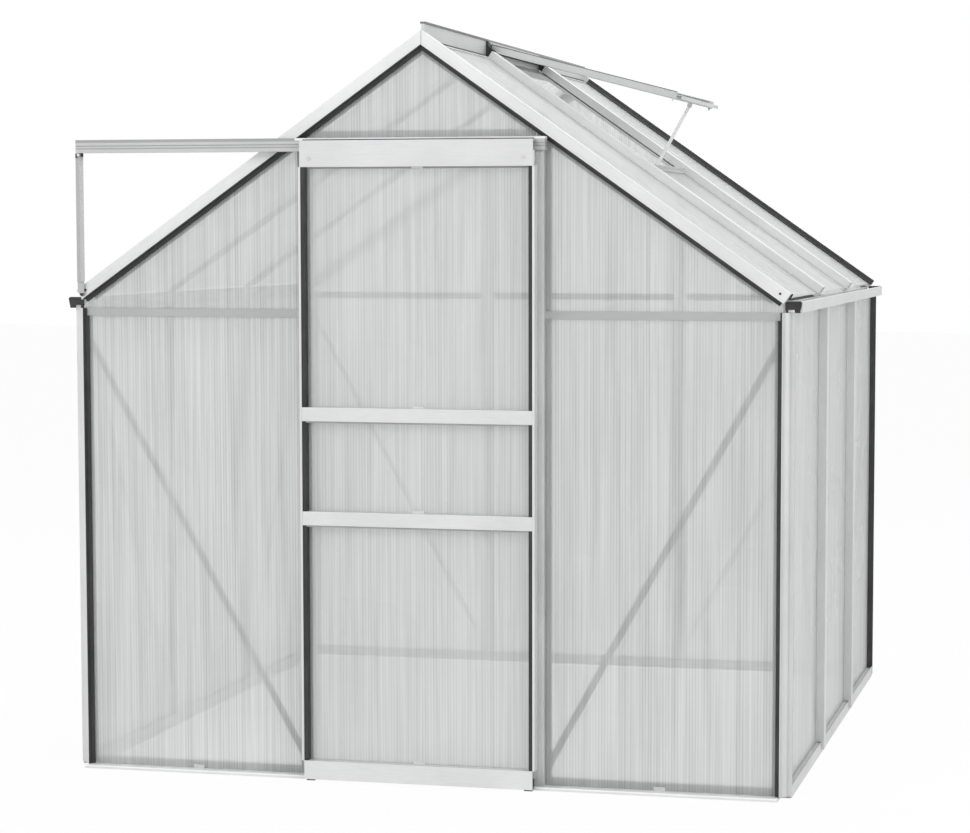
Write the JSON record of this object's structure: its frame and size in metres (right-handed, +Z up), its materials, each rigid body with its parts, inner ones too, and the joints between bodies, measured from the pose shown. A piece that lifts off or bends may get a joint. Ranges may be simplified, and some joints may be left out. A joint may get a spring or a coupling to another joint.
{
  "type": "greenhouse",
  "caption": "Small aluminium greenhouse with twin-wall panes, a sliding front door hung on a side track, gutters and a hinged roof vent held by a stay.",
  "frame": {"origin": "centre of the base's four anchor holes, at floor level", "axes": "+Z up, -Y towards the gable with the door, +X towards the side whose roof slope has the vent"},
  "size_m": [1.964, 2.012, 1.971],
  "materials": {
    "aluminium": "mill finish",
    "pane": "twin-wall, translucent",
    "seal": "matt",
    "black_plastic": "moulded",
    "steel": "zinc plated"
  },
  "bodies": {
    "frame": {"corner_post_front_left": "aluminium", "corner_post_front_right": "aluminium", "corner_post_rear_left": "aluminium", "corner_post_rear_right": "aluminium", "cross_bars": "aluminium", "door_lintel": "aluminium", "door_post_left": "aluminium", "door_post_right": "aluminium", "door_track": "aluminium", "front_panes": "pane", "gable_seals": "seal", "gutter_end_caps": "black_plastic", "gutter_left": "aluminium", "gutter_right": "aluminium", "rafter_front_left": "aluminium", "rafter_front_right": "aluminium", "rafter_rear_left": "aluminium", "rafter_rear_right": "aluminium", "rear_gable_bars": "aluminium", "rear_panes": "pane", "ridge_bar": "aluminium", "ridge_plugs": "black_plastic", "roof_bars_left": "aluminium", "roof_bars_right": "aluminium", "roof_panes_left": "pane", "roof_panes_right": "pane", "roof_seals": "seal", "side_bars_left": "aluminium", "side_bars_right": "aluminium", "side_panes_left": "pane", "side_panes_right": "pane", "side_seals": "seal", "sill_front": "aluminium", "sill_left": "aluminium", "sill_rear": "aluminium", "sill_right": "aluminium", "stay_peg": "steel", "track_stops": "black_plastic", "track_strut": "aluminium", "vent_sill": "aluminium", "wind_braces": "aluminium"},
    "door": {"door_bolts": "steel", "door_guides": "black_plastic", "door_hangers": "aluminium", "door_middle_rails": "aluminium", "door_panes": "pane", "door_rail_bottom": "aluminium", "door_seals": "seal", "door_stiles": "aluminium", "door_top_board": "aluminium", "roller_axles": "steel"},
    "roller_left": {"door_roller_left": "steel"},
    "roller_right": {"door_roller_right": "steel"},
    "vent": {"vent_hinge_rail": "aluminium", "vent_side_rails": "aluminium", "vent_bottom_rail": "aluminium", "vent_pane": "pane", "stay_pin": "steel"},
    "stay": {"vent_stay": "aluminium"}
  },
  "joints": [
    {"name": "door_slide", "type": "slide", "parent": "frame", "child": "door", "axis": [-1, 0, 0], "range_m": [0, 0.615]},
    {"name": "roller_left_spin", "type": "hinge", "parent": "door", "child": "roller_left", "pos_m": [-0.284, -0.992, 1.6563], "axis": [0, -1, 0], "range_deg": [0, 2713]},
    {"name": "roller_right_spin", "type": "hinge", "parent": "door", "child": "roller_right", "pos_m": [0.284, -0.992, 1.6563], "axis": [0, -1, 0], "range_deg": [0, 2713]},
    {"name": "vent_hinge", "type": "hinge", "parent": "frame", "child": "vent", "pos_m": [0.008, 0, 1.96], "axis": [0, -1, 0], "range_deg": [-20.4, 6.6]},
    {"name": "stay_swing", "type": "hinge", "parent": "vent", "child": "stay", "pos_m": [0.52397, 0, 1.7946], "axis": [0, -1, 0], "range_deg": [-3.4, 10.3]}
  ],
  "couplings": [
    {"joint": "roller_left_spin", "follows": "door_slide", "rad_per_m": 76.923},
    {"joint": "roller_right_spin", "follows": "door_slide", "rad_per_m": 76.923},
    {"joint": "stay_swing", "follows": "vent_hinge", "ratio": -0.5}
  ]
}
